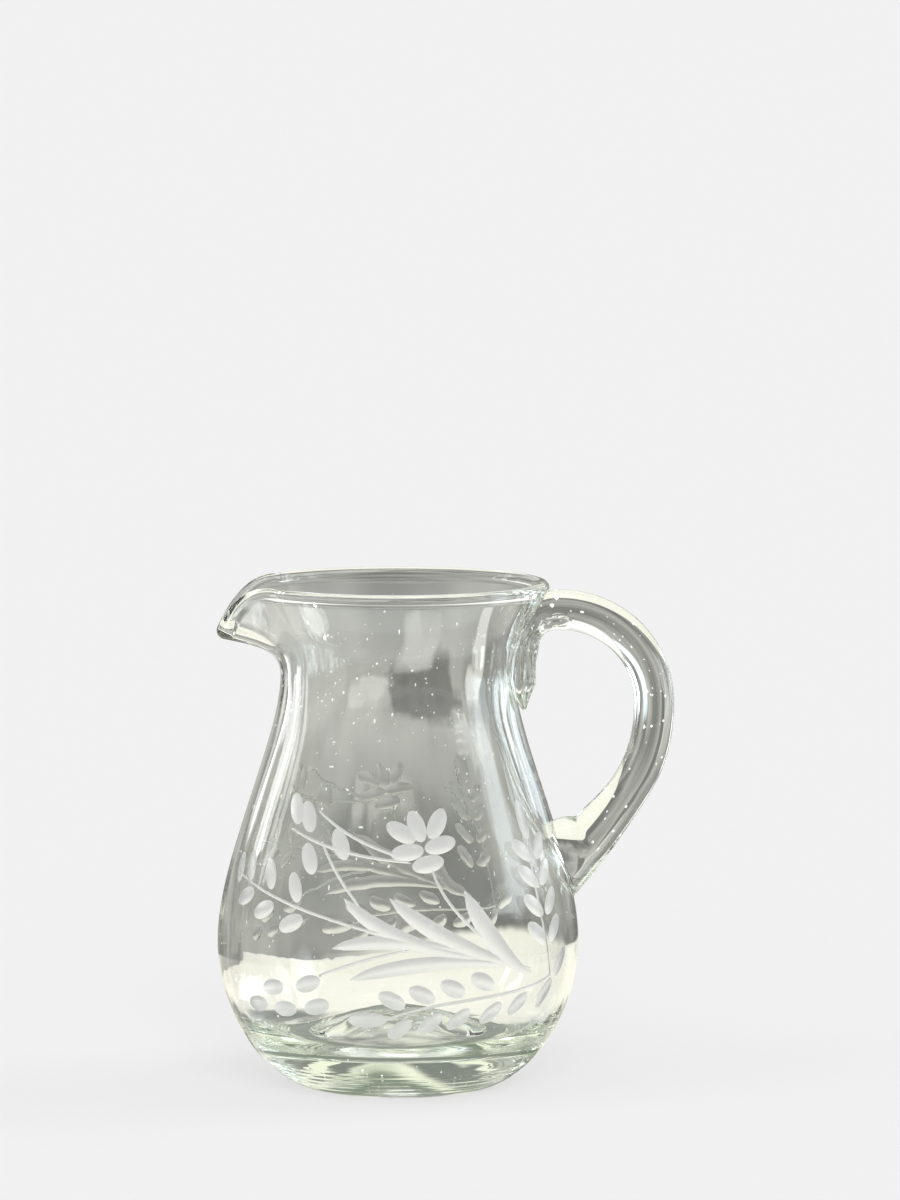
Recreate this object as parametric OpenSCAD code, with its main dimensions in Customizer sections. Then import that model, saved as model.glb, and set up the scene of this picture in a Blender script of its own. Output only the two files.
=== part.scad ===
// Hand-blown glass pitcher with a pulled spout and an applied rod handle.
// Millimetres, +Z up. The spout points along -X and the handle along +X.
// The origin is the centre of the ring that the pitcher stands on.

/* [Body] */
// Height of the rim's top above the table
height = 160; // [145:1:180]
// Outer radius at the belly
belly_r = 57.5; // [50:0.5:64]
// Height of the widest point of the belly
belly_z = 45.5; // [38:0.5:54]
// Outer radius of the neck
neck_r = 37.3; // [33:0.1:41]
// Height of the narrowest point of the neck
neck_z = 130; // [122:1:136]
// Outer radius of the rim
rim_r = 48; // [44:0.5:52]
// Lean of the flare at the rim, from level
rim_lean = 60; // [48:1:80]
// Thickness of the blown wall
wall = 3.2; // [2.4:0.1:4]
// Thickness of the rounded rim
rim_t = 4; // [3:0.1:4.6]
// How far the rim rolls in past the wall, as an angle
lip_roll = 60; // [0:1:70]

/* [Base] */
// Outer radius of the flat standing ring
foot_r = 32.5; // [28:0.5:38]
// Width of the flat standing ring
foot_w = 4; // [2:0.5:8]
// Height of the push-up under the middle of the base
kick_h = 15; // [9:0.5:17]
// Thickness of the glass at the middle of the base
base_t = 8.5; // [6:0.5:12]
// Radius at which the inner floor is lowest, round the push-up
floor_r = 38; // [34:0.5:41]
// Height of the inner floor where it is lowest
floor_z = 15; // [11:0.5:17]

/* [Spout] */
// Distance from the axis to the spout's tip
spout_reach = 57.4; // [53:0.2:64]
// Drop of the spout's tip below the rim
spout_drop = 13; // [6:0.5:14]
// Angle between the middle of the spout and each of its sides
spout_half = 36; // [26:1:45]
// Lean of the pouring lip, from level
spout_lean = 12; // [5:1:30]
// Thickness of the glass at the pouring lip
lip_t = 5.6; // [3.6:0.1:6.4]

/* [Handle] */
// Diameter of the glass rod
rod_d = 12.8; // [10:0.2:15]
// Distance from the axis to the outside of the loop
handle_reach = 87.7; // [80:0.5:98]
// Height of the loop's outermost point
loop_z = 121; // [112:1:128]
// Depth of the rod's centre below the rim's top, at the crest of the loop
crest_drop = 9.2; // [7.5:0.1:12]
// Height at which the rod's centre meets the belly
landing_z = 69.5; // [62:0.5:80]
// Lean of the rod where it lands on the belly, from level
landing_lean = 50; // [40:1:60]
// Thickness of the spread glass at the landing
landing_t = 17; // [14:0.5:20]
// Radius of the gob of glass squeezed out above the landing
gob_r = 8.5; // [6:0.5:11]
// Height of the gob's centre above the landing
gob_rise = 6.5; // [4:0.5:9]

/* [Tail] */
// Height of the tip of the tail folded down the neck
tail_z = 119; // [112:1:126]
// Thickness of the tail
tail_t = 10; // [8:0.5:12]
// Width of the tail
tail_w = 13; // [10:0.5:16]
// How far the middle of the tail stands off the neck
tail_lift = 1.4; // [0.8:0.1:2.4]
// Radius of the fold between the tail and the rod
fold_r = 11; // [9:0.5:13]
// Length over which the tail tapers to its tip
tip_length = 8; // [5:0.5:12]
// Depth of the tooled grooves along the tail
groove_depth = 0.8; // [0:0.1:1]

/* [Curves] */
// Lean of the underside where it leaves the standing ring, from level
heel_lean = 25; // [15:1:40]
// Length over which the heel keeps that lean
heel_full = 13; // [8:1:18]
// Fullness of the belly below its widest point
belly_under = 24; // [16:1:30]
// Fullness of the belly above its widest point
belly_over = 26; // [18:1:38]
// Length over which the shoulder straightens into the neck
shoulder_full = 20; // [12:1:30]
// Length over which the neck stays upright below the flare
neck_full = 12; // [8:0.5:16]
// Length over which the neck stays upright below the spout
throat_full = 8; // [5:0.5:11]
// Length over which the flare keeps the rim's lean
rim_full = 12; // [8:0.5:15]
// Length over which the inner floor stays level before it turns up
floor_full = 6; // [3:0.5:10]
// Fullness of the loop along its crest
crest_full = 16; // [10:1:22]
// Fullness of the loop above its outermost point
loop_over = 18; // [10:1:24]
// Fullness of the loop below its outermost point
loop_under = 23; // [12:1:28]
// Length over which the rod keeps its lean before the landing
landing_full = 26; // [14:1:30]

/* [Hidden] */
$fn = 96;
glass = [0.80, 0.86, 0.81, 0.55];

// Numbers of steps along each stretch of a curve.
under_steps = 6;
dome_steps = 7;
heel_steps = 9;
shoulder_steps = 9;
flare_steps = 10;
lip_steps = 8;
sector_steps = 26;
tail_steps = 10;
fold_steps = 8;
loop_steps = 14;
landing_steps = 18;
rod_sides = 32;

// The lofted quarter of the body reaches this far to each side of the spout's middle.
sector_half = 45;
// How sharply the spout's reach and its drop gather towards its middle.
reach_power = 2;
drop_power = 4.5;
// Share of a quarter circle's radius that pulls a cubic curve into that arc.
arc_pull = 0.5523;
// Grooves round the tail's section, and the part of a full section left at its very tip.
tail_grooves = 8;
tip_left = 0.12;
// How far the rod runs into the belly before the belly's surface trims it.
landing_sink = 7;

function mix(a, b, share) = a + (b - a) * share;
function ease(share) = share * share * (3 - 2 * share);
function along(lean, length) = length * [cos(lean), sin(lean)];
function unit(v) = v / norm(v);
function flip(list) = [for (i = [len(list) - 1:-1:0]) list[i]];

// A cubic curve from p[0] to p[3], pulled towards p[1] and p[2], without its first point.
function curve_point(p, t) =
    pow(1 - t, 3) * p[0] + 3 * t * pow(1 - t, 2) * p[1]
    + 3 * t * t * (1 - t) * p[2] + pow(t, 3) * p[3];
function curve(p, steps) = [for (i = [1:steps]) curve_point(p, i / steps)];

// Direction of a line of points at point i.
function heading(line, i) =
    unit(line[min(i + 1, len(line) - 1)] - line[max(i - 1, 0)]);

// Outer section of the body, from the axis under the base to the neck, as [radius, height].
foot_in = foot_r - foot_w;
push_up = [[0, kick_h], [foot_in / 2, kick_h], [foot_in * 3 / 4, 0], [foot_in, 0]];
heel = [[foot_r, 0], [foot_r, 0] + along(heel_lean, heel_full),
    [belly_r, belly_z - belly_under], [belly_r, belly_z]];
shoulder = [[belly_r, belly_z], [belly_r, belly_z + belly_over],
    [neck_r, neck_z - shoulder_full], [neck_r, neck_z]];
underside = concat([push_up[0]], curve(push_up, under_steps), [heel[0]]);
vessel = concat(underside, curve(heel, heel_steps), curve(shoulder, shoulder_steps));
belly_index = len(underside) + heel_steps - 1;
neck_index = len(vessel) - 1;

// The spout's pull at an angle from its middle: 1 in the middle and 0 at its sides.
function spout_pull(turn) = max(0, 1 - pow(turn / spout_half, 2));
function reach_share(turn) = pow(spout_pull(turn), reach_power);
function drop_share(turn) = pow(spout_pull(turn), drop_power);

// The lip is a round bead about this centre, tangent to the wall's outside and rolled in on its inside.
function lip_lean(turn) = mix(rim_lean, spout_lean, reach_share(turn));
function lip_r(turn) = mix(rim_t, lip_t, reach_share(turn)) / 2;
function lip_centre(turn) = [
    mix(rim_r, spout_reach, reach_share(turn)) - lip_r(turn),
    height - spout_drop * drop_share(turn) - lip_r(turn)];
function lip_point(turn, angle) =
    lip_centre(turn) + along(lip_lean(turn) + angle, lip_r(turn));

// Outer section from the axis to the lip, at an angle from the spout's middle.
function flare(turn) =
    let (edge = lip_point(turn, -90),
        upright = mix(neck_full, throat_full, reach_share(turn)))
    curve([[neck_r, neck_z], [neck_r, neck_z + upright],
        edge - along(lip_lean(turn), rim_full), edge], flare_steps);
function outside(turn) = concat(vessel, flare(turn));
function lip(turn) =
    [for (i = [1:lip_steps - 1]) lip_point(turn, -90 + (180 + lip_roll) * i / lip_steps)];

// Inner section, point for point with the outer one: a floor domed over the push-up, then the bowl.
function thickness(turn, i) =
    mix(wall, lip_r(turn) * (1 + cos(lip_roll)), max(0, i - neck_index) / flare_steps);
dome_z = kick_h + base_t;
dome = [[0, dome_z], [floor_r / 2, dome_z], [floor_r * 3 / 4, floor_z], [floor_r, floor_z]];
function inset(line, turn, i) =
    let (h = heading(line, i)) line[i] + thickness(turn, i) * [-h[1], h[0]];
function inside(turn) =
    let (outer = outside(turn),
        side = inset(outer, turn, belly_index),
        bowl = [[floor_r, floor_z], [floor_r + floor_full, floor_z],
            [side[0], belly_z - belly_under], side])
    concat([dome[0]], curve(dome, dome_steps), curve(bowl, belly_index - dome_steps),
        [for (i = [belly_index + 1:len(outer) - 2]) inset(outer, turn, i)],
        [lip_point(turn, 90 + lip_roll)]);

// Closed half section of the glass.
function section(turn) = concat(outside(turn), lip(turn), flip(inside(turn)));

// Solid outline of the body away from the spout, which trims whatever is stuck on it.
module body_envelope() {
    rotate_extrude() polygon(concat(
        [[0, 0]],
        [for (p = outside(sector_half)) if (p[0] > foot_in) p],
        lip(sector_half),
        [lip_point(sector_half, 90 + lip_roll), [0, height]]));
}

// Quarter of the body with the spout: half sections lofted from the -X side to the -Y side.
module spout_quarter() {
    turns = [for (i = [0:sector_steps]) mix(-sector_half, sector_half, i / sector_steps)];
    sections = [for (turn = turns) section(turn)];
    size = len(sections[0]);
    outer_size = len(outside(0));
    // The ends of every half section lie on the axis, so all sections share those two points.
    points = concat(
        [[0, 0, kick_h], [0, 0, dome_z]],
        [for (i = [0:sector_steps], j = [1:size - 2])
            let (p = sections[i][j], angle = 180 + sector_half + turns[i])
            [p[0] * cos(angle), p[0] * sin(angle), p[1]]]);
    function at(i, j) =
        j == 0 ? 0 : j == size - 1 ? 1 : 2 + i * (size - 2) + j - 1;
    // Glass between neighbouring sections.
    skin = [for (i = [0:sector_steps - 1], j = [0:size - 2])
        each [
            if (j < size - 2) [at(i, j), at(i, j + 1), at(i + 1, j + 1)],
            if (j > 0) [at(i, j), at(i + 1, j + 1), at(i + 1, j)]]];
    // Flat ends, as strips between the outer and the inner line and a fan over the lip.
    function end_strip(i) = [for (j = [0:outer_size - 2])
        each [[at(i, j), at(i, size - 1 - j), at(i, size - 2 - j)],
            [at(i, j), at(i, size - 2 - j), at(i, j + 1)]]];
    function end_fan(i) = [for (k = [0:lip_steps - 2])
        [at(i, outer_size - 1), at(i, outer_size + k + 1), at(i, outer_size + k)]];
    function end_faces(i) = concat(end_strip(i), end_fan(i));
    polyhedron(points, concat(
        skin,
        end_faces(0),
        [for (f = end_faces(sector_steps)) flip(f)]));
}

// The other three quarters are turned about the axis, and the whole is turned to point the spout along -X.
module blown_body() {
    color(glass) rotate([0, 0, -sector_half]) union() {
        rotate([0, 0, -2 * sector_half])
            rotate_extrude(angle = 360 - 2 * sector_half)
                polygon(section(sector_half));
        spout_quarter();
    }
}

// Radius of the body's outside at a height above the belly, away from the spout.
wall_line = [for (p = outside(sector_half)) if (p[1] >= belly_z) [p[1], p[0]]];
function body_r(z) = lookup(z, wall_line);

// Centre line of the handle from the tail's tip to inside the belly, as [x, z].
crest_z = height - crest_drop;
fold_z = crest_z - fold_r;
loop_x = handle_reach - rod_d / 2;
function tail_height(i) = mix(tail_z, fold_z, pow(i / tail_steps, 1.6));
function tail_point(z) = [body_r(z) + tail_lift, z];
fold_start = tail_point(fold_z);
fold_end = [fold_start[0] + fold_r, crest_z];
landing = [body_r(landing_z), landing_z];
tail_line = [for (i = [0:tail_steps]) tail_point(tail_height(i))];
fold_line = curve([fold_start, fold_start + [0, arc_pull * fold_r],
    fold_end - [arc_pull * fold_r, 0], fold_end], fold_steps);
loop_line = curve([fold_end, fold_end + [crest_full, 0],
    [loop_x, loop_z + loop_over], [loop_x, loop_z]], loop_steps);
landing_line = curve([[loop_x, loop_z], [loop_x, loop_z - loop_under],
    landing + along(landing_lean, landing_full), landing], landing_steps);
handle_line = concat(tail_line, fold_line, loop_line, landing_line,
    [landing - along(landing_lean, landing_sink)]);

// Half thickness, half width and groove depth of the handle's section at each point of that line.
function tip_share(z) =
    mix(tip_left, 1, min(1, (z - tail_z) / tip_length));
function spread(i) = ease(max(0, 2 * i / landing_steps - 1));
handle_sizes = concat(
    [for (i = [0:tail_steps]) let (s = tip_share(tail_height(i)))
        [s * tail_t / 2, s * tail_w / 2, s * groove_depth]],
    [for (i = [1:fold_steps]) let (s = ease(i / fold_steps))
        [mix(tail_t, rod_d, s) / 2, mix(tail_w, rod_d, s) / 2, mix(groove_depth, 0, s)]],
    [for (i = [1:loop_steps]) [rod_d / 2, rod_d / 2, 0]],
    [for (i = [1:landing_steps + 1]) let (s = spread(min(i, landing_steps)))
        [mix(rod_d, landing_t, s) / 2, mix(rod_d, landing_t, s / 2) / 2, 0]]);

// One ring of the handle's skin, square to the line.
function handle_ring(i) =
    let (h = heading(handle_line, i), size = handle_sizes[i])
    [for (k = [0:rod_sides - 1])
        let (a = 360 * k / rod_sides,
            cut = size[2] * (1 - cos(tail_grooves * a)) / 2,
            out = (size[0] - cut) * cos(a))
        [handle_line[i][0] + out * h[1],
            (size[1] - cut) * sin(a),
            handle_line[i][1] - out * h[0]]];

module handle_rod() {
    last = len(handle_line) - 1;
    points = [for (i = [0:last]) each handle_ring(i)];
    function at(i, k) = i * rod_sides + k % rod_sides;
    skin = [for (i = [0:last - 1], k = [0:rod_sides - 1])
        each [[at(i, k), at(i + 1, k), at(i + 1, k + 1)],
            [at(i, k), at(i + 1, k + 1), at(i, k + 1)]]];
    polyhedron(points, concat(
        skin,
        [[for (k = [0:rod_sides - 1]) at(0, k)]],
        [[for (k = [rod_sides - 1:-1:0]) at(last, k)]]));
}

module applied_handle() {
    color(glass) difference() {
        union() {
            handle_rod();
            translate([landing[0], 0, landing[1] + gob_rise]) sphere(r = gob_r);
        }
        body_envelope();
    }
}

blown_body();
applied_handle();
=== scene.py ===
"""Looks of a small hand-blown glass pitcher with wheel-cut flower sprays.

Sizes are in millimetres up to the point where a mesh is made, then in metres.
The spout points along -X, the handle along +X, and the camera looks along +Y.
"""
import math
import random

import bmesh
import bpy
import numpy as np
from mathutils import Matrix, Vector
from mathutils.geometry import delaunay_2d_cdt


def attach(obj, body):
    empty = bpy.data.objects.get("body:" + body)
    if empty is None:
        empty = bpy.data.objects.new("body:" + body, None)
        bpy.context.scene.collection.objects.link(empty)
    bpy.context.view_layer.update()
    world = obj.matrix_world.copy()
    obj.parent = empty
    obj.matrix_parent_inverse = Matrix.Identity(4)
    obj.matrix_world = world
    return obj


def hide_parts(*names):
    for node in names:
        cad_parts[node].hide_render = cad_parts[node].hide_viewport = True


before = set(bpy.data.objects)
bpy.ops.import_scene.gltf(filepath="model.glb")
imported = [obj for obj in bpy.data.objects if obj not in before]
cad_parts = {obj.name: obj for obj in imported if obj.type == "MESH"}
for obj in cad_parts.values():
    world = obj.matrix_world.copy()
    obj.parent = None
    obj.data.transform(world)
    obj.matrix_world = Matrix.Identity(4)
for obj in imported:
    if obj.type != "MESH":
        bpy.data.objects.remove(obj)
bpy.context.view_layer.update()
scene = bpy.context.scene
MM = 0.001

# Sizes of the solids
HEIGHT = 160
BELLY_R, BELLY_Z = 57.5, 45.5
NECK_R, NECK_Z = 37.3, 130
RIM_R, RIM_LEAN, RIM_T, LIP_ROLL = 48, 60, 4, 60
WALL = 3.2
FOOT_R, FOOT_W, KICK_H, BASE_T = 32.5, 4, 15, 8.5
FLOOR_R, FLOOR_Z, FLOOR_FULL = 38, 15, 6
SPOUT_REACH, SPOUT_DROP, SPOUT_HALF, SPOUT_LEAN, LIP_T = 57.4, 13, 36, 12, 5.6
ROD_R, HANDLE_REACH, LOOP_Z, CREST_DROP = 6.4, 87.7, 121, 9.2
LANDING_Z, LANDING_LEAN, LANDING_T, GOB_R, GOB_RISE = 69.5, 50, 17, 8.5, 6.5
TAIL_Z, TAIL_T, TAIL_W, TAIL_LIFT, FOLD_R = 119, 10, 13, 1.4, 11
TIP_LENGTH, TIP_LEFT, GROOVES, GROOVE_DEPTH = 8, 0.12, 8, 0.8
HEEL_LEAN, HEEL_FULL, BELLY_UNDER, BELLY_OVER = 25, 13, 24, 26
SHOULDER_FULL, NECK_FULL, THROAT_FULL, RIM_FULL = 20, 12, 8, 12
CREST_FULL, LOOP_OVER, LOOP_UNDER, LANDING_FULL = 16, 18, 23, 26
REACH_POWER, DROP_POWER = 2, 4.5
HEEL_STEPS, SHOULDER_STEPS, PLAIN_STEPS = 1500, 2500, 400


# Curves in the section, as [radius, height]
def along(lean, length):
    """A step of a length, at a lean in degrees."""
    a = math.radians(lean)
    return length * np.array([math.cos(a), math.sin(a)])


def mix(a, b, share):
    return a + (b - a) * share


def ease(share):
    share = np.clip(share, 0, 1)
    return share * share * (3 - 2 * share)


def curve(points, steps):
    """Points of a cubic curve from points[0] to points[3], both included."""
    t = np.linspace(0, 1, steps + 1)[:, None]
    a, b, c, d = (np.array(p, float) for p in points)
    return (1 - t) ** 3 * a + 3 * t * (1 - t) ** 2 * b + 3 * t * t * (1 - t) * c + t ** 3 * d


def run_of(line):
    """Length along a line of points, at each of them."""
    return np.concatenate([[0], np.cumsum(np.linalg.norm(np.diff(line, axis=0), axis=1))])


def headings(line):
    """Unit direction of a line at each of its points."""
    d = np.gradient(line, axis=0)
    return d / np.linalg.norm(d, axis=1)[:, None]


FOOT_IN = FOOT_R - FOOT_W
PUSH_UP = [[0, KICK_H], [FOOT_IN / 2, KICK_H], [FOOT_IN * 3 / 4, 0], [FOOT_IN, 0]]
DOME_Z = KICK_H + BASE_T
DOME = [[0, DOME_Z], [FLOOR_R / 2, DOME_Z], [FLOOR_R * 3 / 4, FLOOR_Z], [FLOOR_R, FLOOR_Z]]
HEEL = [[FOOT_R, 0], np.array([FOOT_R, 0]) + along(HEEL_LEAN, HEEL_FULL),
        [BELLY_R, BELLY_Z - BELLY_UNDER], [BELLY_R, BELLY_Z]]
SHOULDER = [[BELLY_R, BELLY_Z], [BELLY_R, BELLY_Z + BELLY_OVER],
            [NECK_R, NECK_Z - SHOULDER_FULL], [NECK_R, NECK_Z]]
SIDE = np.vstack([curve(HEEL, HEEL_STEPS), curve(SHOULDER, SHOULDER_STEPS)[1:]])
SIDE_RUN = run_of(SIDE)
SIDE_OUT = headings(SIDE)[:, ::-1] * [1, -1]


def run_at(height):
    return np.interp(height, SIDE[:, 1], SIDE_RUN)


def side_at(run):
    """Radius, height and outward direction of the outer side, at a length along it."""
    r, z = (np.interp(run, SIDE_RUN, SIDE[:, k]) for k in (0, 1))
    out_r, out_z = (np.interp(run, SIDE_RUN, SIDE_OUT[:, k]) for k in (0, 1))
    return r, z, out_r, out_z


# The lip, and the spout pulled from it
def lip_of(turn):
    """Reach of the spout, lean, radius and centre of the lip, at degrees from the spout."""
    pull = max(0, 1 - (turn / SPOUT_HALF) ** 2)
    reach, drop = pull ** REACH_POWER, pull ** DROP_POWER
    radius = mix(RIM_T, LIP_T, reach) / 2
    centre = np.array([mix(RIM_R, SPOUT_REACH, reach) - radius,
                       HEIGHT - SPOUT_DROP * drop - radius])
    return reach, mix(RIM_LEAN, SPOUT_LEAN, reach), radius, centre


def flare_of(turn, steps):
    """Outer section from the neck to the lip."""
    reach, lean, radius, centre = lip_of(turn)
    edge = centre + along(lean - 90, radius)
    upright = mix(NECK_FULL, THROAT_FULL, reach)
    return curve([[NECK_R, NECK_Z], [NECK_R, NECK_Z + upright],
                  edge - along(lean, RIM_FULL), edge], steps)


# The whole outer line away from the spout
PLAIN_LINE = np.vstack([SIDE, flare_of(180, PLAIN_STEPS)[1:]])


def body_r(z):
    return np.interp(z, PLAIN_LINE[:, 1], PLAIN_LINE[:, 0])


# Slow ripples, streaks and rings that blowing and reheating leave in the glass
RIPPLE_LOBES, RIPPLE_LENGTHS = (1, 6), (28, 90)
OUTER_RIPPLE, INNER_RIPPLE, STRIAE, HEEL_RINGS = 0.24, 0.45, 0.06, 0.14
CALM_FOOT, CALM_FOOT_RUN, CALM_LIP, CALM_LIP_RUN = 4, 20, 130, 18
STRIA_BEND, STRIA_LENGTH = 0.25, 23
RING_GAP, RING_LOW, RING_LOW_RUN, RING_HIGH, RING_HIGH_RUN = 1.5, 0.4, 1.5, 6, 5


def ripple(seed, waves):
    """An uneven wave over angle and height, from -1 to 1."""
    rng = random.Random(seed)
    parts = [(rng.randint(*RIPPLE_LOBES), math.tau / rng.uniform(*RIPPLE_LENGTHS),
              rng.uniform(0, math.tau)) for _ in range(waves)]

    def value(angle, height):
        return sum(np.sin(m * angle + q * height + p) for m, q, p in parts) / waves
    return value


outer_ripple = ripple(seed=3, waves=7)
inner_ripple = ripple(seed=8, waves=8)


def calm(height):
    """1 where the glass may ripple, 0 at the foot and at the lip."""
    return (ease((height - CALM_FOOT) / CALM_FOOT_RUN)
            * (1 - ease((height - CALM_LIP) / CALM_LIP_RUN)))


def striae(angle, height):
    """Fine upright streaks, from 0 to 1, that the turning glass drew out."""
    bend = STRIA_BEND * np.sin(height / STRIA_LENGTH + 1)
    return 0.5 + (np.sin(31 * (angle + bend / 6)) + np.sin(19 * angle + bend + 2)
                  + np.sin(43 * angle - bend)) / 6


def heel_rings(angle, height):
    """Fine rings round the heel, from 0 to 1, that the marver left."""
    low = ease((height - RING_LOW) / RING_LOW_RUN) * (1 - ease((height - RING_HIGH) / RING_HIGH_RUN))
    wave = math.tau * height / RING_GAP + 1.5 * np.sin(2 * angle + 1) + np.sin(5 * angle)
    return low * (0.5 + 0.5 * np.sin(wave))


def outer_dent(angle, height):
    """How far the outer side lies inside its plain line."""
    slow = OUTER_RIPPLE * (0.5 + 0.5 * outer_ripple(angle, height))
    return ((slow + STRIAE * striae(angle, height)) * calm(height)
            + HEEL_RINGS * heel_rings(angle, height))


# Uneven glass in the base
FLOOR_LUMP, FLOOR_LUMP_RUN = 0.5, 14
KICK_LUMP, KICK_LUMP_R, KICK_LUMP_RUN = 1.0, 22, 9
SCAR, SCAR_R, SCAR_EDGE = 1.3, 9, 1.8


def lump(radius, angle, shift):
    """Uneven glass in the middle of the base, about -1 to 1."""
    x, y = radius * math.cos(angle), radius * math.sin(angle)
    across = np.sin(x / 5.3 + 1.4 * np.sin(y / 7 + shift))
    deep = np.sin(y / 4.6 + 1.2 * np.sin(x / 6.1 + shift))
    return (across + deep + 0.7 * np.sin((x + y) / 9 + shift)) / 2.7


def scar(radius, angle):
    """The rough round pad where the rod that held the base broke away, 0 to about 1."""
    edge = SCAR_R + 1.2 * math.sin(2 * angle + 0.7) + 0.7 * math.sin(5 * angle + 2)
    inside = 1 - ease((radius - edge + SCAR_EDGE / 2) / SCAR_EDGE)
    x, y = radius * math.cos(angle), radius * math.sin(angle)
    rough = np.sin(x / 1.5 + 2 * np.sin(y / 2.3)) * np.sin(y / 1.7 + 1.5 * np.sin(x / 2.7 + 1))
    return inside * (0.75 + 0.4 * rough)


# Wheel-cut decoration, laid out as (degrees from the front towards the handle, height)
OVAL_DEPTH, BLADE_DEPTH, STEM_DEPTH = 0.7, 0.55, 0.28
STEM_HALF = 0.5
STROKE_STEPS = 22
CHART_R, LEAST_R = 50, 30
CUT_REACH, CUT_EDGE, CLEAR_MARGIN = 0.5, 0.002, 0.8
OVAL_RINGS = ((1, 28), (0.66, 18), (0.33, 9))
# The far spray's satin is a little clearer
FAR_FINISH = 0.85
ovals, strokes = [], []


class Layout:
    """Places cuts on the side of the body, as drawn or mirrored to the far side."""

    def __init__(self, mirrored=False, turn=0, lift=0, size=1):
        self.mirrored, self.turn, self.lift, self.size = mirrored, turn, lift, size

    def spot(self, place):
        angle, height = place[0] * self.size, place[1] * self.size + self.lift
        angle = 180 - angle + self.turn if self.mirrored else angle
        return math.radians((270 + angle) % 360), float(run_at(height))

    def oval(self, angle, height, tilt, length, width):
        at, run = self.spot((angle, height))
        tilt = 180 - tilt if self.mirrored else tilt
        half = self.size / 2
        ovals.append((at, run, math.radians(tilt), length * half, width * half))

    def stroke(self, places, half, depth):
        """A cut along a smooth line through 3 or 4 places, with half widths along it."""
        points = np.array([self.spot(p) for p in places])
        share = np.linspace(0, 1, len(points))
        fit = np.polynomial.polynomial.polyfit(share, points, len(points) - 1)
        t = np.linspace(0, 1, STROKE_STEPS + 1)
        line = np.polynomial.polynomial.polyval(t, fit).T
        widths = np.interp(t, np.linspace(0, 1, len(half)), half)
        strokes.append((line, widths, depth))

    def stem(self, *places):
        self.stroke(places, (0.4, STEM_HALF, STEM_HALF, 0.35), STEM_DEPTH)

    def blade(self, base, bend, tip, width):
        """A long leaf, widest past its middle, with a blunt point."""
        shape = (0.12, 0.28, 0.44, 0.6, 0.75, 0.88, 0.97, 1, 0.97, 0.87, 0.62, 0.04)
        self.stroke((base, bend, tip), [width / 2 * s for s in shape], BLADE_DEPTH)


def spray(lay, lean=0, taller=0):
    """One spray. Its upright sprig may lean towards the spout and stand taller."""
    # Upright sprig by the handle
    top = 54.5 - lean
    lay.stem((57, 39), (54, 54 + taller / 3), (53 - lean / 2, 68 + taller * 2 / 3), (top, 82 + taller))
    lay.oval(top, 87.5 + taller, 92, 13, 5)
    for height, side in ((78.5, 5), (70.5, 4.5), (61.5, 4.5), (53, 4.5)):
        lay.oval(top + 0.5 - side, height + taller, 140, 10.5, 5.2)
        lay.oval(top + 1 + side, height + 0.5 + taller, 47, 10.5, 5)
    lay.oval(63, 42.5, 50, 11, 4.6)
    lay.oval(55, 33.5, 55, 11, 4.6)
    # Low sprig towards the spout
    lay.stem((57, 39), (38, 35.5), (16, 33.5), (-4, 28.5))
    lay.oval(-9.5, 28.5, 4, 12.5, 5.2)
    for angle, height in ((28, 40), (18, 38.3), (8, 36.7), (-1.5, 35)):
        lay.oval(angle, height, 152, 9.2, 5.2)
    for angle, height in ((42.5, 31.5), (32, 29.5), (20.5, 28.3), (11, 27.3), (1, 25.6)):
        lay.oval(angle, height, 42, 9.4, 4.8)
    # Long blades
    lay.blade((47, 41), (34, 50), (23, 68.4), 6.4)
    lay.blade((46, 42.5), (20, 52), (-2.3, 66.6), 5.4)
    lay.blade((36, 46), (4, 53.5), (-17.5, 66.3), 4.8)
    lay.blade((30, 47.5), (2, 53), (-20.5, 50.8), 4.4)
    lay.blade((42, 43.5), (12, 46.5), (-14.7, 41.2), 4.8)
    # Flower on its stem
    lay.stem((38, 46.5), (20.5, 61), (12, 76))
    for angle, height, tilt in ((7.4, 88.2, 108), (15.2, 88.8, 62), (1.6, 86.4, 148),
                                (15.8, 82.4, 14), (3.8, 80.4, 8), (11, 76.8, 12)):
        lay.oval(angle, height, tilt, 10.4, 5.5)
    # Long sprig towards the spout
    lay.stem((38, 45.5), (4, 53.5), (-34, 62.5), (-66, 69.5))
    for angle, height, tilt in ((-68, 71.5, 100), (-60, 73, 105), (-48, 71.5, 110), (-36, 68.5, 112)):
        lay.oval(angle, height, tilt, 10, 4.8)
    for angle, height in ((-59.5, 63.5), (-48.5, 60.5), (-36, 57.5)):
        lay.oval(angle, height, 25, 9.6, 5.4)
    # Upper sprig towards the spout
    lay.stem((4, 78.5), (-14, 84), (-31, 92))
    lay.stem((4, 77.5), (-20, 80.5), (-42, 86))
    lay.stem((-13, 65), (-21, 74), (-28, 83))
    for angle, height in ((-35.5, 90), (-20.5, 82.5), (-32, 77.5), (-42, 92)):
        lay.oval(angle, height, 114, 10.5, 5.4)
    # Low cluster under the spout
    lay.stem((2, 50.5), (-10, 47.5), (-24, 42.5))
    for angle, height, tilt in ((-29, 39.2, 22), (-43, 36.8, 12), (-51.5, 30.5, 8),
                                (-39, 30.2, 8), (-26.5, 32, 20)):
        lay.oval(angle, height, tilt, 9.4, 5.2)


spray(Layout())
spray(Layout(mirrored=True, turn=14, lift=16, size=0.86), lean=6, taller=4)


def oval_share(cut, angle, run, margin=0):
    """0 in the middle of an oval cut, 1 on its edge."""
    at, middle, tilt, half_l, half_w = cut
    x = (angle - at) * side_at(middle)[0]
    y = run - middle
    c, s = math.cos(tilt), math.sin(tilt)
    return np.hypot((x * c + y * s) / (half_l + margin), (y * c - x * s) / (half_w + margin))


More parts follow.
